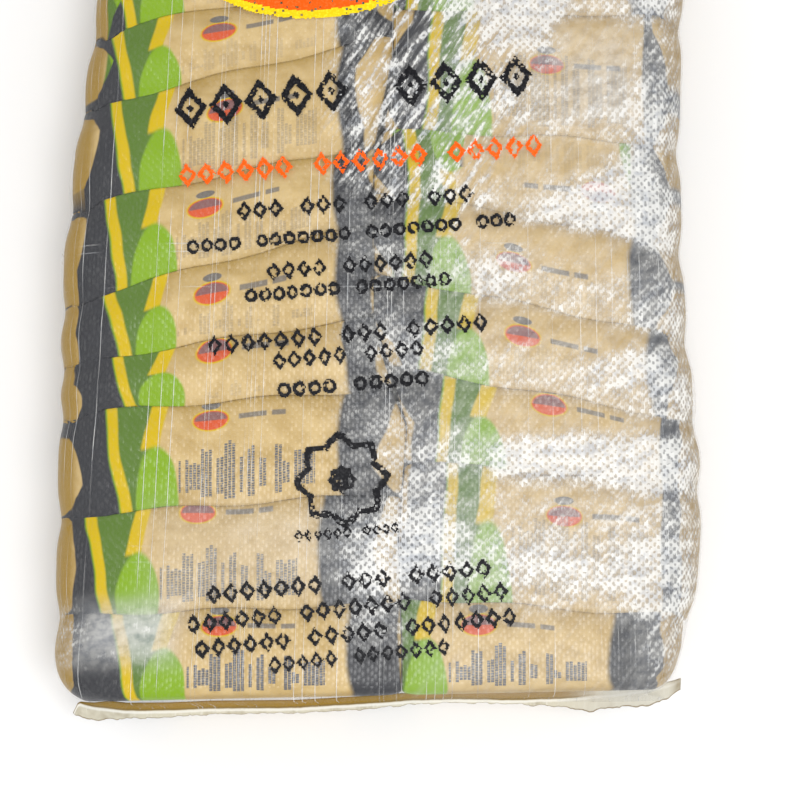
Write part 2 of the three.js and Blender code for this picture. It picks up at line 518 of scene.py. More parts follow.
def printed_pack_film():
    """Clear film over brown sugar, printed with dark ends, a striped green field and a small badge."""
    material, tree = new_material("printed_pack_film")
    u_plain, share = uv_parts(tree, "print")
    seed = attribute(tree, "pack_seed")
    panel_height = attribute(tree, "panel_height")
    depth = product(tree, share, panel_height)

    place = node(tree, "ShaderNodeCombineXYZ", u_plain, depth, seed)
    lumps = noise_at(tree, place, 70.0, 3.0, 0.6)
    grains = noise_at(tree, place, 1300.0, 1.0, 0.5)
    folds = noise_at(tree, drawn_out(tree, place, (0.060, 0.014, 1), 0.25), 1.0, 3.0, 0.55)
    sway = noise_at(tree, place, 26.0, 1.0, 0.5)
    u = times_plus(tree, centred(tree, sway), 0.007, u_plain)
    from_foot = calc(tree, "SUBTRACT", panel_height, depth)
    from_end = attribute(tree, "from_end")

    colour = paint(tree, SUGAR, SUGAR_PALE, ramp(tree, lumps, 0.30, 0.66))
    # Over the sugar's own grain, painted shade: in the folds of the pack, under the seam at the top of each
    # panel, along its foot and towards its ends.
    for shade in (
        ramp(tree, grains, 0.58, 0.80, 0.0, 0.22),
        ramp(tree, folds, 0.50, 0.78, 0.0, 0.45),
        ramp(tree, depth, 0.0, 0.006, 0.60, 0.0),
        ramp(tree, depth, 0.0, 0.018, 0.24, 0.0),
        ramp(tree, from_foot, -0.004, 0.004, 0.60, 0.0),
        ramp(tree, from_end, 0.001, 0.014, 0.92, 0.0),
    ):
        colour = paint(tree, colour, SUGAR_GRAIN_AND_SHADE, shade)

    fold = calc(tree, "PINGPONG", times_plus(tree, share, 1.7, seed), 1.0)
    from_middle = calc(tree, "ABSOLUTE", times_plus(tree, share, 2.0, -1.0))
    near_seam = calc(tree, "MINIMUM", calc(tree, "POWER", from_middle, 2.0), 1.0)
    bulge = calc(tree, "SUBTRACT", near_seam, 0.33)
    wave = times_plus(tree, centred(tree, fold), 1.5, bulge)
    ragged = times_plus(tree, wave, attribute(tree, "end_bulge"), attribute(tree, "covered"))
    covered = ramp(tree, ragged, 0.0058, 0.0078)
    lean = times_plus(tree, centred(tree, share), attribute(tree, "print_lean"), u)
    left_end = ramp(tree, lean, 0.0340, 0.0360, 1.0, 0.0)
    right_end = ramp(tree, times_plus(tree, near_seam, -0.003, u), 0.1625, 0.1665)
    to_end = times_plus(tree, near_seam, 0.003, from_end)
    outer_end = product(tree, ramp(tree, to_end, 0.0250, 0.0270, 1.0, 0.0), ramp(tree, u, 0.119, 0.121))
    dark = calc(tree, "MAXIMUM", calc(tree, "MAXIMUM", left_end, right_end), outer_end)

    field = band(tree, times_plus(tree, share, 0.003, u), *FIELD, STRIPE_SOFT)
    corner = band(tree, times_plus(tree, share, 0.014, u), *CORNER_BAR, STRIPE_SOFT)
    colour = paint(tree, colour, LEAF_GREEN, field)
    colour = paint(tree, colour, LIME, band(tree, lean, *LIME_STRIPE, STRIPE_SOFT))
    colour = paint(tree, colour, YELLOW, band(tree, lean, *YELLOW_STRIPE, STRIPE_SOFT))
    colour = paint(tree, colour, YELLOW, product(tree, corner, ramp(tree, share, 0.46, 0.40)))
    colour = paint(tree, colour, LIME, ellipse(tree, u, share, DOME_AT, DOME_RADII, 0.07))
    colour = paint(tree, colour, CHARCOAL, product(tree, dark, covered))

    label_u = calc(tree, "SUBTRACT", u_plain, attribute(tree, "label_along"))
    label_v = calc(tree, "SUBTRACT", depth, attribute(tree, "label_down"))
    for badge_colour, radii in ((YELLOW, BADGE_RIM), (BADGE_ORANGE, BADGE_FIELD)):
        colour = paint(tree, colour, badge_colour, ellipse(tree, label_u, label_v, BADGE_AT, radii, 0.08))
    inset = ellipse(tree, label_u, label_v, BADGE_AT, BADGE_INSET, 0.08)
    upper_half = product(tree, inset, ramp(tree, label_v, 0.0138, 0.0146, 0.75, 0.0))
    cap = product(tree, ellipse(tree, label_u, label_v, CAP_AT, CAP_RADII, 0.10), 0.85)
    bar, next_bar = (band(tree, label_u, *reach, BAR_SOFT) for reach in (LONG_BAR, SHORT_BAR))
    bars = calc(tree, "MAXIMUM", bar, next_bar)
    bars = product(tree, bars, band(tree, label_v, *BAR_DOWN, BAR_SOFT), 0.75)
    for mask in (upper_half, cap, bars, fine_columns(tree, u_plain, share, depth, place)):
        colour = paint(tree, colour, PRINT_GREY, mask)
    surface(tree, plastic(tree, colour, 0.38, bumpy(tree, lumps, 0.5, 0.0008)))
    return material


pack_film = printed_pack_film()
packed = bmesh.new()
for column in (LEFT_COLUMN, RIGHT_COLUMN):
    for row in range(len(column["rows"])):
        pack = make_pack(column, row, seed=row * SEED_STEP + column["side"] * SEED_SIDE)
        pack.data.materials.append(pack_film)
        packed.from_mesh(pack.data)
        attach(pack, "root")
packs_skin = BVHTree.FromBMesh(packed)
packed.free()


# The full sack: clear plastic tapes about 2 mm wide, woven flat and drawn tight over the packs.
# Where the film is creased and slack, most of all over the right column, painted glare whitens the
# crossings of its tapes, and painted glints along single tapes folded on edge show as fine white lines.
TAPE = 0.0023
FILM_REST = 0.0010  # how far the film stays off the packs
TIGHTENING = 240  # passes that draw the front tight
CREASE = 0.0006
HEM_TRIM = 0.55  # share of the hem's length that the film itself fills

STREAKED_ZONE = (
    (-0.030, 0.030), (0.050, 0.000), (0.085, 0.080), (0.060, 0.250), (-0.015, 0.250), (-0.040, 0.080),
)


def box(left, foot, right, top):
    """The corners of an upright box, run round to the left."""
    return ((left, foot), (right, foot), (right, top), (left, top))


# Zones of painted glare on the creased film, each a convex outline run round to the left,
# and how much whiter it is there.
CREASED_GLARE_ZONES = (
    (((0.0932, 0.0179), (0.1579, 0.0032), (0.1546, 0.0623)), 0.7),
    (((0.0692, -0.1305), (0.1549, -0.1351), (0.1523, -0.1144), (0.1036, -0.1121), (0.0664, -0.1202)), 0.7),
    (((0.074, -0.212), (0.1549, -0.2159), (0.1548, -0.1391), (0.056, -0.132)), 0.26),
    (((0.012, 0.0564), (0.1634, 0.0683), (0.1645, 0.24), (0.03, 0.24), (-0.0055, 0.0892)), 0.05),
    (STREAKED_ZONE, 0.05),
    (((0.056, 0.117), (0.1, 0.117), (0.108, 0.15), (0.048, 0.15)), 0.7),
    (box(-0.022, -0.23, 0.008, 0.17), 0.18),
    (((0.01, -0.122), (0.04, -0.122), (0.04, -0.04), (0.006, -0.04)), 0.1),
    (box(0.008, -0.078, 0.034, -0.038), 0.11),
    (box(0.15, -0.19, 0.18, -0.106), 0.16),
    (box(0.15, -0.248, 0.18, -0.202), 0.42),
    (box(-0.09, -0.19, -0.02, -0.148), 0.16),
    (((-0.186, -0.242), (-0.12, -0.24), (-0.115, -0.208), (-0.186, -0.208)), 0.42),
    (((-0.0164, -0.226), (0.016, -0.226), (0.0234, -0.1933), (0.012, -0.1477), (-0.0222, -0.1591)), 0.29),
    (((0.014, -0.186), (0.048, -0.186), (0.046, -0.127), (0.01, -0.127)), 0.48),
    (((0.0524, -0.0379), (0.0813, -0.032), (0.0843, -0.0057), (0.0525, -0.0057)), 0.3),
    (((0.1154, -0.0844), (0.17, -0.0815), (0.17, -0.0583), (0.1156, -0.0612)), 0.3),
)
ZONE_EDGE = 0.014

# Zones where an even sheen is painted on the film, and how strong it is.
SHEEN_ZONES = (
    (((-0.17, -0.236), (-0.118, -0.236), (-0.112, -0.206), (-0.165, -0.21)), 0.34),
    (box(0.108, 0.075, 0.145, 0.125), 0.14),
    (box(-0.13, -0.205, -0.03, -0.15), 0.12),
)


def depth_in_zone(corners, x, y):
    """Distance from a point inside a convex outline to its nearest side, less than 0 outside."""
    nearest = 1.0
    for (x1, y1), (x2, y2) in zip(corners, corners[1:] + corners[:1]):
        side = math.hypot(x2 - x1, y2 - y1)
        nearest = min(nearest, ((x2 - x1) * (y - y1) - (y2 - y1) * (x - x1)) / side)
    return nearest


def share_of_pack(column, x, y):
    """How high a point lies on its pack: 0 at the seam below it, 1 at the seam above."""
    for row in range(len(column["rows"])):
        low, high = seam_y(column, row, x), seam_y(column, row + 1, x)
        if y < high:
            return max(0.0, (y - low) / (high - low))
    return 1.0


def glare_and_crease_white(x, y):
    """How white the creased film is painted with glare at a place on the front, from 0 to 1."""
    # Painted glare: whitest on the right, where the light falls, near the right edge, on the lower part of
    # each right pack, which faces the light, and just under the seam above it.
    right = smoothstep(-0.060, 0.045, x) * (0.20 + 0.80 * smoothstep(0.030, 0.080, y - BODY_FOOT))
    share = share_of_pack(RIGHT_COLUMN, x, y)
    by_seam = max(1 - smoothstep(0.25, 0.85, share), 0.7 * smoothstep(0.86, 1.0, share))
    edge = smoothstep(0.120, 0.165, x)
    white = 0.04 + right * (0.11 + 0.29 * by_seam + 0.21 * edge)
    for corners, more in CREASED_GLARE_ZONES:
        white += more * smoothstep(-ZONE_EDGE, ZONE_EDGE, depth_in_zone(corners, x, y))
    return min(white, 1.0)


def sheen_at(x, y):
    """How strong the painted sheen is at a place on the front."""
    depths = [(depth_in_zone(corners, x, y), more) for corners, more in SHEEN_ZONES]
    return sum(more * smoothstep(-ZONE_EDGE, ZONE_EDGE, depth) for depth, more in depths)


def streaks_at(x, y):
    """How much the painted glare runs in slanting streaks along the creases at a place on the front."""
    slanting = smoothstep(-0.01, 0.02, depth_in_zone(STREAKED_ZONE, x, y))
    return 0.25 * smoothstep(-0.03, 0.05, x) + 0.75 * slanting


def slackness(x, y):
    """How loosely the film lies at a place: tight on the left, slack over the right column."""
    patch = noise.noise(Vector((x * 11, y * 11, 4.0)))
    return min(max(smoothstep(-0.07, 0.09, x) + 0.25 * patch, 0.08), 1.0)


def read_vectors(items, name):
    values = np.empty(len(items) * 3, dtype=np.float32)
    items.foreach_get(name, values)
    return values.reshape(-1, 3).astype(np.float64)


def tighten(film):
    """Draws the front tight: each point settles to its neighbours' mean height, never below the packs."""
    mesh = film.data
    places = read_vectors(mesh.vertices, "co")
    normals = read_vectors(mesh.vertices, "normal")
    ends = np.empty(len(mesh.edges) * 2, dtype=np.int32)
    mesh.edges.foreach_get("vertices", ends)
    first, second = ends[0::2], ends[1::2]
    count = len(places)
    links = np.bincount(ends, minlength=count)
    front = normals[:, 2] > 0.6
    height = places[:, 2].copy()
    floor = np.zeros(count)
    for index in np.flatnonzero(front):
        x, y = places[index, :2]
        hit, normal, face, distance = packs_skin.ray_cast(Vector((x, y, OUTSIDE)), DOWN)
        floor[index] = hit.z + FILM_REST if hit else 0.0
    for step in range(TIGHTENING):
        total = np.bincount(first, height[second], count) + np.bincount(second, height[first], count)
        height[front] = np.maximum(total / links, floor)[front]
    for index in np.flatnonzero(front):
        x, y = places[index, :2]
        fold = 1 - abs(noise.noise(Vector((x * 14, y * 48, 0.0))))
        ripple = noise.fractal(Vector((x * 60 + y * 25, y * 70 - x * 30, 7.0)), 0.8, 2.0, 2)
        height[index] += CREASE * slackness(x, y) * max(0.0, 0.9 * fold + 0.5 * ripple)
    places[:, 2] = height
    foot = BODY_FOOT + BOTTOM_SLANT * places[:, 0] / HALF_WIDTH
    top = BODY_FOOT + BODY_LENGTH
    along = places[:, 1]
    along = np.where(along < foot, foot + (along - foot) * HEM_TRIM, along)
    places[:, 1] = np.where(along > top, top + (along - top) * HEM_TRIM, along)
    mesh.vertices.foreach_set("co", places.astype(np.float32).ravel())
    mesh.update()


def weave_place(place, normal):
    """Where a point of the film lies in the flat weave. The tapes lean a little from side to side."""
    lean = 0.02 - 0.2 * place.x
    drop = max(0.0, cad_high.z - place.z - 0.010)
    across = place.x + math.copysign(drop, place.x) * smoothstep(0.3, 0.8, abs(normal.x))
    along = place.y + math.copysign(drop, place.y) * smoothstep(0.3, 0.8, abs(normal.y))
    return across - lean * place.y, along


def lay_weave(mesh):
    """A UV map in metres along the tapes."""
    weave = mesh.uv_layers.new(name="weave")
    spots = [weave_place(vert.co, vert.normal) for vert in mesh.vertices]
    for loop, spot in zip(mesh.loops, weave.data):
        spot.uv = spots[loop.vertex_index]


def weave_cells(tree):
    """The weave's crossings: place on an upright tape's crossing, and draws for each tape and crossing."""
    u, v = uv_parts(tree, "weave")
    a = calc(tree, "DIVIDE", u, TAPE)
    b = calc(tree, "DIVIDE", v, TAPE)
    column = calc(tree, "FLOOR", a)
    brick = product(tree, calc(tree, "ADD", b, column), 0.5)
    draw = tree.nodes.new("ShaderNodeTexWhiteNoise")
    draw.noise_dimensions = "2D"
    crossing = node(tree, "ShaderNodeCombineXYZ", column, calc(tree, "FLOOR", brick), 0.0)
    tree.links.new(crossing, draw.inputs["Vector"])
    split = tree.nodes.new("ShaderNodeSeparateColor")
    tree.links.new(draw.outputs["Color"], split.inputs[0])
    weft = calc(tree, "ADD", calc(tree, "FLOOR", b), 0.37)
    return {
        "place": node(tree, "ShaderNodeCombineXYZ", u, v, 0.0),
        "across": centred(tree, calc(tree, "FRACT", a)),
        "along": centred(tree, calc(tree, "FRACT", brick)),
        "weft_across": centred(tree, calc(tree, "FRACT", b)),
        "tape": draw_for(tree, column),
        "weft": draw_for(tree, weft),
        "draws": (split.outputs[0], split.outputs[1], split.outputs[2]),
    }


def tilt(tree, place, curve, draw, loose):
    """How a tape leans along one direction: round across the tape, with a random lean. 0.5 is level."""
    lean = product(tree, centred(tree, draw), loose)
    return times_plus(tree, times_plus(tree, place, curve, lean), 0.5, 0.5)


def crease_noise(tree, place, turn, size):
    """Noise drawn out along one direction, from -0.5 to 0.5."""
    return centred(tree, noise_at(tree, drawn_out(tree, place, size, math.radians(turn)), 1.0, 3.0, 0.55))


def side_glare_and_crease_white(x, y):
    """How white the film is painted on the sack's sides: more on the right, where it is slack and the glare
    falls.
    """
    return 0.06 + 0.10 * smoothstep(0.10, 0.18, x)


def fading_to_sides(mesh, front, side):
    """A number for each point of the film: the front's own, fading to the sides'."""
    values = []
    for vert in mesh.vertices:
        x, y = vert.co.x, vert.co.y
        off_front = side(x, y)
        values.append(off_front + (front(x, y) - off_front) * smoothstep(0.10, 0.70, vert.normal.z))
    return values


MILK_LIT = (0.87, 0.865, 0.835, 1)
MILK_SHADED = (0.55, 0.57, 0.60, 1)
HOLE_RADII = (0.50, 0.36)  # of the clear gap between crossings, as shares of a crossing
CROWN_RADII = (0.32, 0.30)  # of the raised middle of a crossing, painted white as a glint
GLINTING_TAPE = 0.72  # an upright tape whose draw is past this is folded on edge, with a painted glint along it
GLINTING_WEFT = 0.955  # the same for a tape that runs across


def woven_film():
    """Clear woven tapes: see-through, with a broken gloss, and white with painted glare and glints where
    tapes are creased or folded.
    """
    material, tree = new_material("woven_film")
    cells = weave_cells(tree)
    place, across, along, tape = (cells[name] for name in ("place", "across", "along", "tape"))
    first, second, third = cells["draws"]

    facet = tree.nodes.new("ShaderNodeNormalMap")
    facet.uv_map = "weave"
    lean_u = tilt(tree, across, 0.40, first, 0.20)
    lean_v = tilt(tree, along, 0.35, second, 0.20)
    tree.links.new(node(tree, "ShaderNodeCombineColor", lean_u, lean_v, 1.0), facet.inputs["Color"])

    creases = crease_noise(tree, place, 12, (0.030, 0.009, 1))
    streaks = crease_noise(tree, place, 57, (0.021, 0.0034, 1))
    crumple = centred(tree, noise_at(tree, place, 170.0, 2.0, 0.6))
    # Painted glare: how white the crossings are, read from the points and broken up by crease, streak and
    # crumple noise.
    painted = attribute(tree, "glare_and_crease_white")
    loose = ramp(tree, painted, 0.06, 0.34)
    white = times_plus(tree, product(tree, creases, loose), 0.80, painted)
    white = times_plus(tree, product(tree, streaks, attribute(tree, "streaks")), 3.5, white)
    white = times_plus(tree, product(tree, crumple, loose), 0.40, white)
    dense = ramp(tree, white, 0.10, 0.80, kind="LINEAR")

    # Painted glints: the raised middle of each crossing is painted white, and as the glare grows the white
    # spreads until only the gaps between crossings stay clear.
    aside = times_plus(tree, centred(tree, third), 0.36, calc(tree, "ADD", across, 0.08))
    off = times_plus(tree, centred(tree, second), 0.32, along)
    to_gap = calc(tree, "SUBTRACT", 0.5, calc(tree, "ABSOLUTE", off))
    edge = times_plus(tree, centred(tree, first), 0.50, times_plus(tree, dense, -1.50, 2.02))
    past_edge = calc(tree, "SUBTRACT", length_of(tree, aside, to_gap, HOLE_RADII), edge)
    round_hole = ramp(tree, past_edge, -0.28, 0.28)
    size = times_plus(tree, first, 0.5, 0.75)
    crown = calc(tree, "DIVIDE", length_of(tree, aside, off, CROWN_RADII), size)
    dash = calc(tree, "MAXIMUM", round_hole, ramp(tree, crown, 0.65, 1.35, 1.0, 0.0))
    opacity = ramp(tree, dense, 0.0, 0.85, 0.05, 0.88, "LINEAR")
    weak = times_plus(tree, tape, -0.35, times_plus(tree, third, -0.50, 0.85))
    weak = product(tree, weak, times_plus(tree, dense, -0.70, 1.0))
    dash = product(tree, dash, calc(tree, "SUBTRACT", 1.0, weak), opacity)

    # Painted glints: fine white lines along single tapes that are folded on edge.
    fade = noise_at(tree, place, 22.0, 1.0, 0.5)
    folded = calc(tree, "GREATER_THAN", tape, GLINTING_TAPE)
    tape_edge = band(tree, across, -0.24, -0.06, 0.06)
    line = product(tree, folded, tape_edge, ramp(tree, fade, 0.34, 0.66, 0.06, 0.62))
    glinting_weft = calc(tree, "GREATER_THAN", cells["weft"], GLINTING_WEFT)
    weft_edge = band(tree, cells["weft_across"], -0.2, 0.1, 0.06)
    cross = product(tree, glinting_weft, weft_edge, ramp(tree, fade, 0.50, 0.66, 0.0, 0.35))
    # A milky veil that grows towards the right, where the film is slack, and with the painted glare and
    # sheen.
    slack = ramp(tree, uv_parts(tree, "weave")[0], 0.0, 0.05, 0.003, 0.09)
    milky = times_plus(tree, dense, 0.30, calc(tree, "ADD", slack, attribute(tree, "sheen")))
    for mask in (line, cross, dash):
        milky = calc(tree, "MAXIMUM", milky, mask)

    clear = node(tree, "ShaderNodeBsdfTransparent", (1, 1, 1, 1))
    # Painted light and shade: the milky film is mixed from a lit and a shaded colour along the creases.
    shade = calc(tree, "ADD", times_plus(tree, creases, 0.8, 0.5), product(tree, crumple, 0.8))
    milk = plastic(tree, paint(tree, MILK_SHADED, MILK_LIT, ramp(tree, shade, 0.28, 0.60)), 0.4)
    body = node(tree, "ShaderNodeMixShader", milky, clear, milk)
    gloss = tree.nodes.new("ShaderNodeBsdfGlossy")
    gloss.inputs["Color"].default_value = (1, 1, 1, 1)
    gloss.inputs["Roughness"].default_value = 0.32
    tree.links.new(facet.outputs[0], gloss.inputs["Normal"])
    mirror = tree.nodes.new("ShaderNodeFresnel")
    mirror.inputs["IOR"].default_value = 1.5
    shine = calc(tree, "MINIMUM", mirror.outputs[0], 0.02)
    surface(tree, node(tree, "ShaderNodeMixShader", shine, body, gloss.outputs[0]))
    return material


tighten(film)
lay_weave(film.data)
give_points(film.data, "glare_and_crease_white", fading_to_sides(film.data, glare_and_crease_white, side_glare_and_crease_white))
give_points(film.data, "streaks", fading_to_sides(film.data, streaks_at, lambda x, y: 0.1))
give_points(film.data, "sheen", fading_to_sides(film.data, sheen_at, lambda x, y: 0.0))
film.data.shade_smooth()
film.data.materials.append(woven_film())
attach(film, "root")
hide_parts("sack")


# The print on the sack: flat inks on the outer face of the film, worn off in flecks, most where it is
# creased and white with painted glare.
# Rows of diamonds and dots run across the front, with a ring of points and an oval panel.
# Each tape takes the ink a little askew, which breaks up every edge.
INK_CELL = 0.0007
INK_HEIGHT = 0.0002  # above the film's own surface
INK_SHIFT = 0.0009
INK_WORN = 0.03
INK_WORN_IN_CREASED_GLARE = 0.15  # how much more is worn off where the film is creased and white with painted glare
INK_FLECK = 0.0012
UP = Vector((0, 0, 1))

# Rows of marks: middle, length, height, slope in degrees and kind of mark.
BLACK_ROWS = (
    ((-0.069, 0.086), 0.111, 0.0258, 7.0, "open_diamond"),
    ((0.049, 0.097), 0.103, 0.0258, 5.0, "open_diamond"),
    ((-0.014, 0.025), 0.140, 0.0115, 4.5, "diamond"),
    ((-0.016, 0.007), 0.195, 0.0100, 5.0, "dot"),
    ((-0.017, -0.012), 0.099, 0.0110, 4.5, "diamond"),
    ((-0.018, -0.025), 0.120, 0.0100, 5.0, "dot"),
    ((-0.018, -0.052), 0.165, 0.0120, 5.0, "diamond"),
    ((-0.018, -0.064), 0.096, 0.0110, 5.0, "diamond"),
    ((-0.015, -0.081), 0.089, 0.0110, 5.0, "dot"),
    ((-0.018, -0.166), 0.061, 0.0069, 5.0, "diamond"),
    ((-0.017, -0.194), 0.164, 0.0120, 5.5, "diamond"),
    ((-0.018, -0.209), 0.191, 0.0115, 6.0, "diamond"),
    ((-0.013, -0.223), 0.188, 0.0115, 6.0, "diamond"),
    ((-0.011, -0.236), 0.104, 0.0100, 6.0, "diamond"),
)
ORANGE_ROWS = (((-0.011, 0.050), 0.217, 0.0140, 5.0, "diamond"),)
STAR_AT, STAR_RADIUS, STAR_POINTS = (-0.021, -0.136), 0.028, 8
PANEL_AT, PANEL_RADII, PANEL_RIM = (-0.035, 0.177), (0.075, 0.042), 0.005
MARK_PITCH = 0.80  # spacing of marks in a row, as a share of the row's height
MARK_REACH = 0.47  # half of a mark's width, as a share of the spacing
PRINT_SLOPE = 5.0
INK_BLACK = (0.005, 0.005, 0.007, 1)
INK_ORANGE = (0.90, 0.105, 0.002, 1)
INK_YELLOW = (0.84, 0.60, 0.004, 1)

film_top = skin_of(film.data)


def group_gaps(count, draw):
    """Which marks of a row are left out, so that the rest stand in groups of three to seven."""
    gaps = set()
    place = draw.randint(3, 7)
    while place < count - 2:
        gaps.add(place)
        place += draw.randint(4, 8)
    return gaps


def row_marks(length, height, kind, seed):
    """A test for a row of like marks, in the row's own directions."""
    pitch = height * MARK_PITCH
    count = max(1, int(length / pitch))
    gaps = group_gaps(count, random.Random(seed))

    def inside(x, y):
        number = math.floor(x / pitch + count / 2)
        if number in gaps or not 0 <= number < count:
            return False
        across = (x / pitch + count / 2 - number - 0.5) / MARK_REACH
        up = y / (height / 2)
        if kind == "dot":
            return 0.40 < math.hypot(across * 0.9, up * 1.1) < 0.86
        reach = abs(across) + abs(up)
        if kind == "open_diamond":
            return 0.55 < reach < 1 or reach < 0.20
        return 0.46 < reach < 1

    return inside


def star_ring(x, y):
    """A ring with eight points and a small star in it."""
    turn = (math.atan2(y, x) / (2 * math.pi) * STAR_POINTS) % 1
    edge = STAR_RADIUS * (0.78 + 0.22 * abs(2 * turn - 1))
    reach = math.hypot(x, y) / edge
    return 0.84 < reach < 1 or reach < 0.30


def panel_reach(x, y, rim):
    return math.hypot(x / (PANEL_RADII[0] - rim), y / (PANEL_RADII[1] - rim))


def on_panel(x, y):
    return panel_reach(x, y, PANEL_RIM) < 1


def on_rim(x, y):
    return panel_reach(x, y, 0) < 1 < panel_reach(x, y, PANEL_RIM)


def print_mark(sheet, middle, size, slope, inside):
    """Cuts one mark from a fine grid: a face stays where ink covers it, shifted and worn tape by tape."""
    lay = Matrix.Translation((*middle, 0)) @ Matrix.Rotation(math.radians(slope), 4, "Z")
    spread = Matrix.Diagonal((size[0] / 2, size[1] / 2, 1, 1))
    steps = [max(1, round(length / INK_CELL)) for length in size]
    made = bmesh.ops.create_grid(
        sheet, x_segments=steps[0], y_segments=steps[1], size=1, matrix=lay @ spread
    )
    unlay = lay.inverted()
    bare = []
    for face in dict.fromkeys(face for vert in made["verts"] for face in vert.link_faces):
        place = face.calc_center_median()
        across, along = weave_place(Vector((place.x, place.y, cad_high.z)), UP)
        tape = math.floor(across / TAPE)
        crossing = math.floor((along / TAPE + tape) / 2)
        draw = noise.cell_vector(Vector((tape + 0.5, crossing + 0.5, 5.5)))
        fleck = noise.cell_vector(place / INK_FLECK + Vector((0.5, 0.5, 0.5)))
        flat = unlay @ place
        inked = inside(flat.x + (draw.x - 0.5) * INK_SHIFT, flat.y + (draw.y - 0.5) * INK_SHIFT)
        if not inked or fleck.x < INK_WORN + INK_WORN_IN_CREASED_GLARE * glare_and_crease_white(place.x, place.y):
            bare.append(face)
    bmesh.ops.delete(sheet, geom=bare, context="FACES")


def ink(name, colour):
    """Flat ink, a little uneven in depth."""
    material, tree = new_material(name)
    place = tree.nodes.new("ShaderNodeTexCoord").outputs["Object"]
    patchy = noise_at(tree, place, 700.0, 2.0, 0.6)
    pale = tuple(min(1.0, value * 1.25 + 0.02) for value in colour[:3]) + (1,)
    surface(tree, plastic(tree, paint(tree, colour, pale, ramp(tree, patchy, 0.45, 0.7)), 0.5))
    return material


def lay_ink(name, sheet, colour):
    """Drapes a sheet of marks over the film and makes it a piece."""
    for vert in sheet.verts:
        hit, normal, face, distance = film_top.ray_cast(Vector((vert.co.x, vert.co.y, OUTSIDE)), DOWN)
        vert.co.z = hit.z + INK_HEIGHT
    mesh = new_mesh(name, sheet)
    mesh.shade_smooth()
    mesh.materials.append(ink(name, colour))
    piece = new_piece(name, mesh)
    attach(piece, "root")


def print_rows(sheet, rows):
    for number, (middle, length, height, slope, kind) in enumerate(rows):
        print_mark(sheet, middle, (length, height), slope, row_marks(length, height, kind, number))


star_size = (2 * STAR_RADIUS, 2 * STAR_RADIUS)
panel_size = (2 * PANEL_RADII[0], 2 * PANEL_RADII[1])
for ink_name, ink_colour, rows, middle, size, inside in (
    ("ink_black", INK_BLACK, BLACK_ROWS, STAR_AT, star_size, star_ring),
    ("ink_orange", INK_ORANGE, ORANGE_ROWS, PANEL_AT, panel_size, on_panel),
    ("ink_yellow", INK_YELLOW, (), PANEL_AT, panel_size, on_rim),
):
    sheet = bmesh.new()
    print_rows(sheet, rows)
    print_mark(sheet, middle, size, PRINT_SLOPE, inside)
    lay_ink(ink_name, sheet, ink_colour)


# The hems: at each end the film is folded over, pressed flat and stitched shut. The fold is milky, and
# its cut edge is torn and stained brown with sugar. At the right of the bottom hem it turns up in an ear.
HEM_CUTS = (259, 9, 1)
HEM_TUCK = 0.004  # how far the fold runs in under the front edge, less at both ends
HEM_TUCK_FADE = 0.025
HEM_LEVEL = 0.056
HEM_WAVE, HEM_WAVE_LENGTH = 0.003, 0.170
HEM_ROOT_THICKNESS, HEM_TIP_THICKNESS = 0.0072, 0.0024
HEM_TEAR = 0.0013
HEM_ROLL = 0.0012
HEM_WRINKLE = 0.0005
TOP_HEM_WIDTH = 0.86  # width of the top hem as a share of the bottom one

# The bottom hem from left to right: place across the sack, and upper and lower edge from the body's foot.
HEM_OUTLINE = (
    (-0.1812, -0.0076, -0.0086), (-0.1780, -0.0012, -0.0096), (-0.1690, -0.0036, -0.0124),
    (-0.1500, -0.0058, -0.0110), (-0.1250, -0.0056, -0.0105), (-0.1000, -0.0046, -0.0085),
    (-0.0500, -0.0042, -0.0080), (-0.0120, -0.0020, -0.0060), (0.0200, 0.0003, -0.0028),
    (0.0450, 0.0010, -0.0017), (0.0800, 0.0004, -0.0026), (0.1080, 0.0012, -0.0043),
    (0.1240, 0.0027, -0.0071), (0.1370, 0.0037, -0.0047), (0.1570, 0.0065, -0.0041),
    (0.1700, 0.0093, 0.0003), (0.1780, 0.0126, 0.0056),
)
hem_places, hem_uppers, hem_lowers = zip(*HEM_OUTLINE)


def make_hem(name, at_top):
    """A flattened fold of film at one end. Its UV map runs along the hem and down from its upper edge."""
    strip = cut_block(HEM_CUTS)
    hem_map = strip.loops.layers.uv.new("hem")
    strip.verts.index_update()
    spots = []
    for vert in strip.verts:
        x = hem_places[0] + (hem_places[-1] - hem_places[0]) * (vert.co.x + 1) / 2
        out = (1 - vert.co.y) / 2
        upper = float(np.interp(x, hem_places, hem_uppers))
        lower = float(np.interp(x, hem_places, hem_lowers))
        ragged = noise.fractal(Vector((x * 140, 2.0, 0.0)), 0.7, 2.0, 4)
        lower -= HEM_TEAR * max(-0.4, ragged)
        tuck = HEM_TUCK * smoothstep(0, HEM_TUCK_FADE, min(x - hem_places[0], hem_places[-1] - x))
        y = upper + tuck + (lower - upper - tuck) * out
        spots.append((x, upper - y, (upper - y) / (upper - lower)))
        rolled = math.sin(math.pi * min(1.0, out * 1.3)) * HEM_ROLL
        thickness = HEM_ROOT_THICKNESS + (HEM_TIP_THICKNESS - HEM_ROOT_THICKNESS) * out + rolled
        wrinkle = HEM_WRINKLE * noise.noise(Vector((x * 90, y * 300, 5.0)))
        level = HEM_LEVEL + HEM_WAVE * math.sin(2 * math.pi * x / HEM_WAVE_LENGTH) + wrinkle
        if at_top:
            y = BODY_FOOT + BODY_LENGTH - y + BOTTOM_SLANT * x / HALF_WIDTH
            x *= -TOP_HEM_WIDTH
        else:
            y += BODY_FOOT
        vert.co = (x, y, level + vert.co.z * thickness / 2)
    for face in strip.faces:
        for loop in face.loops:
            along, down, share = spots[loop.vert.index]
            loop[hem_map].uv = (along, down)
    mesh = new_mesh(name, strip)
    give_points(mesh, "hem_share", [share for along, down, share in spots])
    mesh.shade_smooth()
    return new_piece(name, mesh)


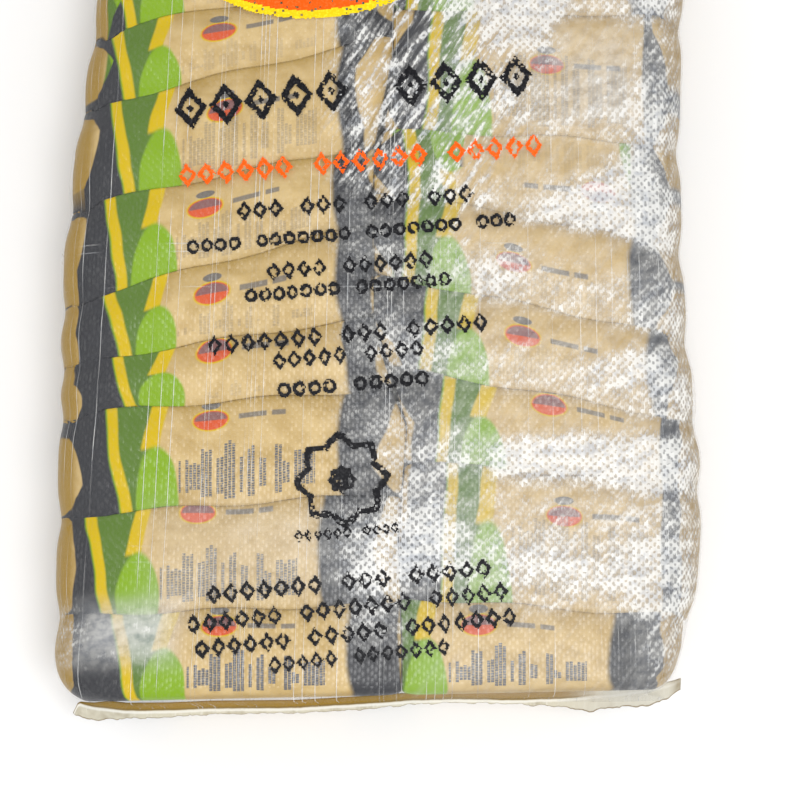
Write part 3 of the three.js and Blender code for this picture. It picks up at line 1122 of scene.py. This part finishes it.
MILKY = (0.62, 0.585, 0.470, 1)
FOLD_HIGHLIGHT = (0.82, 0.80, 0.73, 1)
EAR_GREY = (0.60, 0.575, 0.50, 1)
BROWN_PATCH_AND_SHADOW = (0.20, 0.135, 0.045, 1)
TORN_BROWN = (0.20, 0.14, 0.055, 1)


def hem_film():
    """Folded woven film: milky, with a painted highlight along the fold, a brown painted shadow in the
    crease above it, and brown at the torn edge.
    """
    material, tree = new_material("hem_film")
    along, down = uv_parts(tree, "hem")
    share = attribute(tree, "hem_share")
    place = node(tree, "ShaderNodeCombineXYZ", along, down, 0.0)
    tapes = noise_at(tree, drawn_out(tree, place, (0.0016, 0.012, 1)), 1.0, 2.0, 0.6)
    patches = noise_at(tree, place, 90.0, 2.0, 0.6)
    wavy = times_plus(tree, centred(tree, patches), 0.0012, down)
    torn = times_plus(tree, centred(tree, tapes), 0.10, share)
    colour = paint(tree, MILKY, BROWN_PATCH_AND_SHADOW, ramp(tree, patches, 0.45, 0.75, 0.0, 0.40))
    # Painted highlights: a light band along the fold just below its upper edge, and on some of its tapes.
    colour = paint(tree, colour, FOLD_HIGHLIGHT, product(tree, band(tree, wavy, 0.0010, 0.0024, 0.0006), 0.9))
    colour = paint(tree, colour, FOLD_HIGHLIGHT, ramp(tree, tapes, 0.52, 0.75, 0.0, 0.5))
    colour = paint(tree, colour, EAR_GREY, ramp(tree, along, 0.100, 0.130, 0.0, 0.60))
    left_of_ear = ramp(tree, along, 0.105, 0.135, 1.0, 0.0)
    # Painted shadow: the band above the hem's upper edge, left of the ear, in the sugar's brown.
    shaded = product(tree, ramp(tree, wavy, 0.0002, 0.0010, 1.0, 0.0), left_of_ear)
    colour = paint(tree, colour, SUGAR_GRAIN_AND_SHADE, shaded)
    # Painted shadow: a dark line in the crease along the hem's upper edge, left of the ear.
    crease = product(tree, band(tree, wavy, -0.0004, 0.0006, 0.0004), left_of_ear, 0.8)
    colour = paint(tree, colour, BROWN_PATCH_AND_SHADOW, crease)
    colour = paint(tree, colour, TORN_BROWN, ramp(tree, torn, 0.90, 0.97, 0.0, 0.85))
    colour = paint(tree, colour, TORN_BROWN, product(tree, ramp(tree, along, 0.1695, 0.1765), patches))
    surface(tree, plastic(tree, colour, 0.35, bumpy(tree, tapes, 0.4, 0.0006)))
    return material


folded_film = hem_film()
for hem_name, at_top in (("hem_bottom", False), ("hem_top", True)):
    hem = make_hem(hem_name, at_top)
    hem.data.materials.append(folded_film)
    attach(hem, "root")


# The stage: the sack lies on a pale floor in even light from all round, with a softbox over its right side.
# The camera looks down on the printed front.
def make_floor():
    ground = bmesh.new()
    bmesh.ops.create_grid(ground, x_segments=1, y_segments=1, size=6)
    mesh = new_mesh("floor", ground)
    floor = new_piece("floor", mesh)
    material, tree = new_material("pale_floor")
    surface(tree, plastic(tree, (0.92, 0.92, 0.92, 1), 0.8))
    mesh.materials.append(material)


def softbox(name, place, target, width, length, power):
    lamp = bpy.data.lights.new(name, "AREA")
    lamp.shape = "RECTANGLE"
    lamp.size = width
    lamp.size_y = length
    lamp.energy = power
    holder = bpy.data.objects.new(name, lamp)
    holder.location = place
    holder.rotation_euler = (Vector(target) - Vector(place)).to_track_quat("-Z", "Y").to_euler()
    bpy.context.scene.collection.objects.link(holder)


make_floor()
softbox("softbox_right", (0.20, -0.45, 1.70), (0.05, -0.10, 0.1), 0.60, 0.60, 15)

world = bpy.data.worlds.new("studio")
world.use_nodes = True
world.node_tree.nodes["Background"].inputs["Color"].default_value = (1, 1, 1, 1)
world.node_tree.nodes["Background"].inputs["Strength"].default_value = 0.82
bpy.context.scene.world = world
bpy.context.scene.view_settings.view_transform = "Standard"

VIEW_TARGET = Vector((0.012, -0.0901, 0.120))
VIEW_DISTANCE = 1.30
VIEW_ELEVATION = math.radians(83)
camera_data = bpy.data.cameras.new("camera")
camera_data.lens = 102
camera_data.sensor_width = 36
camera = bpy.data.objects.new("camera", camera_data)
away = Vector((0, -math.cos(VIEW_ELEVATION), math.sin(VIEW_ELEVATION)))
camera.location = VIEW_TARGET + VIEW_DISTANCE * away
camera.rotation_euler = (math.pi / 2 - VIEW_ELEVATION, 0, 0)
bpy.context.scene.collection.objects.link(camera)
bpy.context.scene.camera = camera
